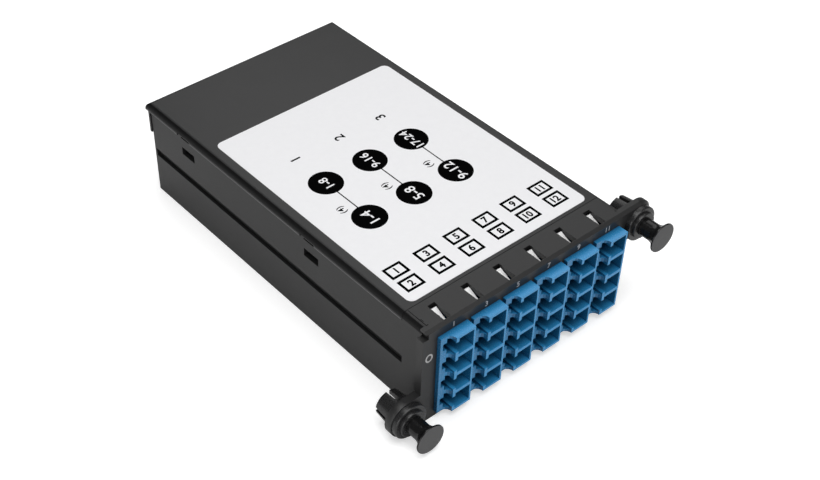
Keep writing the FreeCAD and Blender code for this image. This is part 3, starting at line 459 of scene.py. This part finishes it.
# Print: three pairs of discs joined by lines, twelve boxes for the port columns, and plain
# numbers in all of them. It is black ink on the film, with the film's white in the discs.
def printed_text(words, cap_height, place, turn, thickness, boldness):
    """Plain figures as a flat solid: set as text, made a mesh, then put in their place."""
    cap_share = 0.69
    bpy.ops.object.text_add()
    text = bpy.context.object
    text.data.body = words
    text.data.size = cap_height / cap_share
    text.data.align_x = "CENTER"
    text.data.align_y = "CENTER"
    text.data.extrude = thickness / 2
    text.data.offset = boldness
    text.data.resolution_u = 3
    bpy.ops.object.select_all(action="DESELECT")
    text.select_set(True)
    bpy.context.view_layer.objects.active = text
    bpy.ops.object.convert(target="MESH")
    text = bpy.context.object
    tall = [corner.co.y for corner in text.data.vertices]
    wide = [corner.co.x for corner in text.data.vertices]
    lift = Vector((-(min(wide) + max(wide)) / 2, -(min(tall) + max(tall)) / 2, 0.0))
    text.data.transform(Matrix.Translation(lift))
    text.rotation_euler = turn
    text.location = place
    bpy.ops.object.transform_apply(location=True, rotation=True, scale=True)
    return text


def printed_disc(place, radius, thickness):
    """A printed disc: a filled circle, extruded up."""
    bpy.ops.object.select_all(action="DESELECT")
    bpy.ops.mesh.primitive_circle_add(vertices=72, radius=radius, fill_type="NGON", location=place)
    disc = bpy.context.object
    bpy.ops.object.mode_set(mode="EDIT")
    thicken((0.0, 0.0, thickness))
    return disc


def printed_frame(place, width, depth, line, thickness):
    """A printed box outline: a plane inset by the line, its middle deleted, extruded up."""
    outline = flat(place, width, depth)
    bpy.ops.mesh.inset(thickness=line)
    bpy.ops.mesh.delete(type="FACE")
    thicken((0.0, 0.0, thickness))
    return outline


ink_black, tree, ink = new_material("ink_black")
two_tone(tree, ink, (0.001, 0.001, 0.001), (0.003, 0.003, 0.003), 2500.0)
ink.inputs["Roughness"].default_value = 0.6
ink.inputs["Specular IOR Level"].default_value = 0.0
ink_rise, figure_rise = 0.012 * MM, 0.008 * MM
ink_middle = film_top + ink_rise / 2
figure_middle = film_top + 0.016 * MM
level = (0.0, 0.0, 0.0)
along_y = (0.0, 0.0, math.radians(90.0))
rear_row, front_row = 57.2 * MM, 39.7 * MM
disc_radius = 4.7 * MM
link_middle, link_width, link_length = 48.45 * MM, 0.36 * MM, 8.4 * MM
column_middle = 70.0 * MM
note_middle, note_left = 46.2 * MM, 3.6 * MM
port_groups = (
    (-17.2 * MM, "1", "1-8", "1-4"),
    (-2.35 * MM, "2", "9-16", "5-8"),
    (12.1 * MM, "3", "17-24", "9-12"))
black_print = []
white_print = []
for across, column, rear_ports, front_ports in port_groups:
    for row in (rear_row, front_row):
        black_print.append(printed_disc((across, row, film_top), disc_radius, ink_rise))
    black_print.append(flat_bar((across, link_middle, film_top),
                                link_width, link_length, ink_rise))
    black_print.append(printed_text(column, 2.9 * MM, (across, column_middle, ink_middle),
                                    along_y, ink_rise, 0.07 * MM))
    black_print.append(printed_text("(4)", 1.8 * MM, (across - note_left, note_middle, ink_middle),
                                    along_y, ink_rise, 0.03 * MM))
    white_print.append(printed_text(rear_ports, 2.5 * MM, (across, rear_row, figure_middle),
                                    along_y, figure_rise, 0.05 * MM))
    white_print.append(printed_text(front_ports, 2.9 * MM, (across, front_row, figure_middle),
                                    along_y, figure_rise, 0.05 * MM))
box_width, box_depth, box_line = 5.65 * MM, 4.35 * MM, 0.74 * MM
box_columns = (-25.15, -15.4, -5.6, 4.2, 13.85, 23.6)
box_rows = (20.5, 15.0)
for number, across in enumerate(box_columns):
    for row, depth in enumerate(box_rows):
        black_print.append(printed_frame((across * MM, depth * MM, film_top),
                                         box_width, box_depth, box_line, ink_rise))
        figure = str(2 * number + row + 1)
        black_print.append(printed_text(figure, 2.0 * MM, (across * MM, depth * MM, ink_middle),
                                        level, ink_rise, 0.1 * MM))
settle(join("label_print", black_print), ink_black, "cassette")
settle(join("label_figures", white_print), film_white, "cassette")


# Port adapters: blue PBT, with sharp moulded ledges. Each clips into the front plate. Painted
# shade darkens the bores towards their floors and on the walls that face down or to the left.
adapter_blue = moulded_plastic("adapter_blue", (0.027, 0.25, 0.53), (0.034, 0.275, 0.57),
                               0.26, 4200.0, 0.01 * MM)
tree = adapter_blue.node_tree
blue_colour = tree.nodes["Principled BSDF"].inputs["Base Color"]
blue_tint = blue_colour.links[0].from_socket
blue_place = tree.nodes.new("ShaderNodeTexCoord")
blue_depth = tree.nodes.new("ShaderNodeSeparateXYZ")
depth_painted_shade = tree.nodes.new("ShaderNodeMapRange")
depth_painted_shade.inputs["From Min"].default_value = -2.2 * MM
depth_painted_shade.inputs["From Max"].default_value = 1.6 * MM
blue_facing = tree.nodes.new("ShaderNodeNewGeometry")
blue_slope = tree.nodes.new("ShaderNodeSeparateXYZ")
shade_facing_mask = tree.nodes.new("ShaderNodeMath")
shade_facing_mask.operation = "MINIMUM"
facing_painted_shade = tree.nodes.new("ShaderNodeMapRange")
facing_painted_shade.inputs["From Min"].default_value = -0.1
facing_painted_shade.inputs["From Max"].default_value = -0.9
facing_painted_shade.inputs["To Max"].default_value = 0.8
painted_shade_share = tree.nodes.new("ShaderNodeMath")
painted_shade_share.operation = "MAXIMUM"
# Painted shade: the dark navy that the blue goes to deep in the bores and on walls facing down or
# left.
painted_shade_mix = tree.nodes.new("ShaderNodeMix")
painted_shade_mix.data_type = "RGBA"
painted_shade_mix.inputs["B"].default_value = (0.002, 0.035, 0.09, 1.0)
tree.links.new(blue_place.outputs["Object"], blue_depth.inputs["Vector"])
tree.links.new(blue_depth.outputs["Y"], depth_painted_shade.inputs["Value"])
tree.links.new(blue_facing.outputs["Normal"], blue_slope.inputs["Vector"])
tree.links.new(blue_slope.outputs["X"], shade_facing_mask.inputs[0])
tree.links.new(blue_slope.outputs["Z"], shade_facing_mask.inputs[1])
tree.links.new(shade_facing_mask.outputs["Value"], facing_painted_shade.inputs["Value"])
tree.links.new(depth_painted_shade.outputs["Result"], painted_shade_share.inputs[0])
tree.links.new(facing_painted_shade.outputs["Result"], painted_shade_share.inputs[1])
tree.links.new(painted_shade_share.outputs["Value"], painted_shade_mix.inputs["Factor"])
tree.links.new(blue_tint, painted_shade_mix.inputs["A"])
tree.links.new(painted_shade_mix.outputs["Result"], blue_colour)
for number in range(1, 7):
    dress("port_adapter_%d" % number, adapter_blue)
    soften("port_adapter_%d" % number, 0.08 * MM)


# Port numbers: small pale figures printed on the plate over every adapter, and an open oval
# at the plate's left end.
print_pale, tree, pale = new_material("print_pale")
two_tone(tree, pale, (0.3, 0.3, 0.3), (0.5, 0.5, 0.5), 1800.0)
pale.inputs["Roughness"].default_value = 0.6
plate_rise = 0.02 * MM
upright = (math.radians(90.0), 0.0, 0.0)
first_number, number_pitch, number_height = -25.2, 10.45, 28.6
plate_print = []
for number in range(6):
    figure_across = (first_number + number_pitch * number) * MM
    figure_place = (figure_across, -plate_rise / 2, number_height * MM)
    plate_print.append(printed_text(str(2 * number + 1), 1.5 * MM, figure_place,
                                    upright, plate_rise, 0.02 * MM))
oval_place = (-32.6 * MM, 21.85 * MM, 0.0)
oval_radius, oval_line, oval_stretch = 1.15 * MM, 0.44 * MM, 1.12
bpy.ops.object.select_all(action="DESELECT")
bpy.ops.mesh.primitive_circle_add(vertices=40, radius=oval_radius, fill_type="NGON",
                                  location=oval_place)
oval = bpy.context.object
bpy.ops.object.mode_set(mode="EDIT")
bpy.ops.transform.resize(value=(1.0, oval_stretch, 1.0), center_override=oval_place)
bpy.ops.mesh.inset(thickness=oval_line)
bpy.ops.mesh.delete(type="FACE")
thicken((0.0, 0.0, plate_rise))
bpy.ops.object.transform_apply(location=True, rotation=False, scale=False)
oval.rotation_euler = upright
bpy.ops.object.transform_apply(location=False, rotation=True, scale=False)
plate_print.append(oval)
settle(join("plate_print", plate_print), print_pale, "cassette")


# Adapter clips: bright spring steel, stamped and folded round each adapter, its glint partly
# painted into a near-white colour. Only the folded leaf shows, through its slot in the strip.
def steel_with_painted_glint(name, roughness):
    """Rolled spring steel: fine lines along the strip, a little uneven, and bright; part of its
    near-white colour is painted highlight, a diffuse white standing in for its glint.
    """
    material, tree, shader = new_material(name)
    shader.inputs["Metallic"].default_value = 0.4
    place, lines = two_tone(tree, shader, (0.9, 0.9, 0.9), (0.97, 0.97, 0.97), 1.0)
    stretch = tree.nodes.new("ShaderNodeMapping")
    stretch.inputs["Scale"].default_value = (6000.0, 300.0, 6000.0)
    gloss = tree.nodes.new("ShaderNodeMapRange")
    gloss.inputs["To Min"].default_value = roughness - 0.08
    gloss.inputs["To Max"].default_value = roughness + 0.08
    tree.links.new(place.outputs["Object"], stretch.inputs["Vector"])
    tree.links.new(stretch.outputs["Vector"], lines.inputs["Vector"])
    tree.links.new(lines.outputs["Fac"], gloss.inputs["Value"])
    tree.links.new(gloss.outputs["Result"], shader.inputs["Roughness"])
    return material


# Painted highlight, in part: the steel is bright, and its near-white base, mostly diffuse, also
# paints in its glint.
steel_and_painted_glint = steel_with_painted_glint("steel_and_painted_glint", 0.55)
for number in range(1, 7):
    dress("adapter_clip_%d" % number, steel_and_painted_glint)


# Sleeves and plugs inside the adapters: ground ceramic tubes that line the ferrules up, and
# pale PBT plug housings pushed in from behind.
sleeve_ceramic = moulded_plastic("sleeve_ceramic", (0.78, 0.77, 0.73), (0.84, 0.83, 0.8),
                                 0.2, 3000.0, 0.004 * MM)
dress("alignment_sleeves", sleeve_ceramic)
plug_pale = moulded_plastic("plug_pale", (0.66, 0.67, 0.68), (0.72, 0.73, 0.74),
                            0.4, 4200.0, 0.01 * MM)
for number in range(1, 7):
    dress("rear_plugs_%d" % number, plug_pale)


# Fibres: yellow jackets from the plugs to the fan-out blocks, and tubes from there to the rear.
# The blocks are cast, the ribbon plugs and their adapters moulded, and steel clips hold them.
jacket_yellow = moulded_plastic("jacket_yellow", (0.72, 0.5, 0.03), (0.8, 0.58, 0.05),
                                0.45, 4000.0, 0.01 * MM)
for number in range(1, 7):
    dress("fibre_legs_%d" % number, jacket_yellow)
tube_yellow = moulded_plastic("tube_yellow", (0.62, 0.48, 0.1), (0.7, 0.55, 0.14),
                              0.5, 3000.0, 0.01 * MM)
block_black = moulded_plastic("block_black", (0.03, 0.03, 0.031), (0.04, 0.04, 0.041),
                              0.45, 4000.0, 0.01 * MM)
plug_green = moulded_plastic("plug_green", (0.03, 0.2, 0.07), (0.05, 0.26, 0.1),
                             0.4, 4200.0, 0.01 * MM)
ribbon_black = moulded_plastic("ribbon_black", (0.02, 0.02, 0.021), (0.028, 0.028, 0.029),
                               0.4, 4200.0, 0.01 * MM)
for number in range(1, 4):
    dress("trunk_tube_%d" % number, tube_yellow)
    dress("fan_out_block_%d" % number, block_black)
    dress("ribbon_plug_%d" % number, plug_green)
    dress("ribbon_adapter_%d" % number, ribbon_black)
    dress("ribbon_clip_%d" % number, steel_and_painted_glint)


# Grommets: black nylon. A collar and a ring stand on the ear, and four barbed prongs grip
# behind it. Each is turned in the tool and its prongs are split by a cross.
def turned(name, axis_place, profile):
    """A turned piece: one point extruded along its profile (radius, depth), then spun about Y."""
    first_radius, first_depth = profile[0]
    start = Vector(axis_place) + Vector((first_radius, first_depth, 0.0)) * MM
    piece = single_point(name, start)
    for before, after in zip(profile, profile[1:]):
        step = ((after[0] - before[0]) * MM, (after[1] - before[1]) * MM, 0.0)
        bpy.ops.mesh.extrude_region_move(TRANSFORM_OT_translate={"value": step})
    bpy.ops.mesh.select_all(action="SELECT")
    bpy.ops.mesh.spin(steps=64, angle=math.tau, center=axis_place, axis=(0.0, 1.0, 0.0))
    bpy.ops.mesh.select_all(action="SELECT")
    bpy.ops.mesh.remove_doubles(threshold=0.002 * MM)
    bpy.ops.mesh.normals_make_consistent(inside=False)
    bpy.ops.object.mode_set(mode="OBJECT")
    bpy.ops.object.transform_apply(location=True, rotation=True, scale=True)
    bpy.ops.object.shade_smooth_by_angle(angle=math.radians(32.0))
    return piece


def rounded(corner, before, after, radius):
    """The points that round one corner of a profile."""
    steps = 4
    tip = Vector(corner)
    start = tip + (Vector(before) - tip).normalized() * radius
    end = tip + (Vector(after) - tip).normalized() * radius
    points = []
    for index in range(steps + 1):
        share = index / steps
        points.append(tuple(start.lerp(tip, share).lerp(tip.lerp(end, share), share)))
    return points


grommet_black = moulded_plastic("grommet_black", (0.012, 0.012, 0.0125), (0.018, 0.018, 0.0185),
                                0.28, 3500.0, 0.01 * MM)
bore, ring, collar, barrel, barb, prong_end = 2.52, 3.8, 4.95, 3.51, 4.22, 3.74
ring_front, collar_front, ear_back, prong_tip = -2.4, -1.5, 2.26, 7.18
prong_outline = [(bore, ring_front)]
prong_outline += rounded((ring, ring_front), (bore, ring_front), (ring, collar_front), 0.3)
prong_outline += [(ring, collar_front)]
prong_outline += rounded((collar, collar_front), (ring, collar_front), (collar, 0.0), 0.35)
prong_outline += [(collar, 0.0), (barrel, 0.0), (barrel, ear_back), (barb, ear_back),
                  (prong_end, prong_tip), (bore, prong_tip), (bore, ring_front)]
slot_width, slot_span, slot_depth, slot_middle = 1.0 * MM, 12.0 * MM, 10.0 * MM, 7.7 * MM
latch_axes = {}
for side in ("left", "right"):
    low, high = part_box(side + "_grommet")
    axis_place = Vector(((low.x + high.x) / 2, 0.0, (low.z + high.z) / 2))
    latch_axes[side] = axis_place
    grommet = turned(side + "_latch_grommet", axis_place, prong_outline)
    slot_place = axis_place + Vector((0.0, slot_middle, 0.0))
    for width, height in ((slot_span, slot_width), (slot_width, slot_span)):
        bpy.ops.object.select_all(action="DESELECT")
        bpy.ops.mesh.primitive_cube_add(size=1.0, location=slot_place)
        slot_cutter = bpy.context.object
        bpy.ops.object.mode_set(mode="EDIT")
        bpy.ops.transform.resize(value=(width, slot_depth, height), center_override=slot_place)
        bpy.ops.object.mode_set(mode="OBJECT")
        bpy.ops.object.transform_apply(location=True, rotation=True, scale=True)
        combine(grommet, [slot_cutter], "DIFFERENCE")
    settle(grommet, grommet_black, "cassette")
    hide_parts(side + "_grommet")


# Plungers: black acetal, turned smooth. A flared head is pushed by a finger, and the shaft
# slides in the grommet to spread its prongs. The head's face is left matt.
plunger_black = moulded_plastic("plunger_black", (0.006, 0.006, 0.0062), (0.009, 0.009, 0.0092),
                                0.16, 2500.0, 0.004 * MM, shine=0.35)
head_matt = moulded_plastic("head_matt", (0.066, 0.066, 0.067), (0.074, 0.074, 0.075),
                            0.6, 6000.0, 0.015 * MM)
shaft, head, front, rim, flare, tip = 2.45, 4.17, -8.5, 0.42, 3.2, 3.0
face_reach = 0.02
widest = math.acos((flare - head + shaft) / flare)
neck = front + rim + flare * math.sin(widest)
flare_steps = 12
head_outline = [(0.0, front)]
head_outline += rounded((head, front), (0.0, front), (head, front + rim), 0.2)
for index in range(flare_steps + 1):
    angle = widest * (1 - index / flare_steps)
    head_outline.append((shaft + flare * (1 - math.cos(angle)), neck - flare * math.sin(angle)))
head_outline += rounded((shaft, tip), (shaft, neck), (0.0, tip), 0.5)
head_outline.append((0.0, tip))
for side in ("left", "right"):
    plunger = turned(side + "_latch_plunger", latch_axes[side], head_outline)
    settle(plunger, plunger_black, side + "_latch_plunger")
    plunger.data.materials.append(head_matt)
    for face in plunger.data.polygons:
        if face.center.y < (front + face_reach) * MM:
            face.material_index = 1
    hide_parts(side + "_plunger")
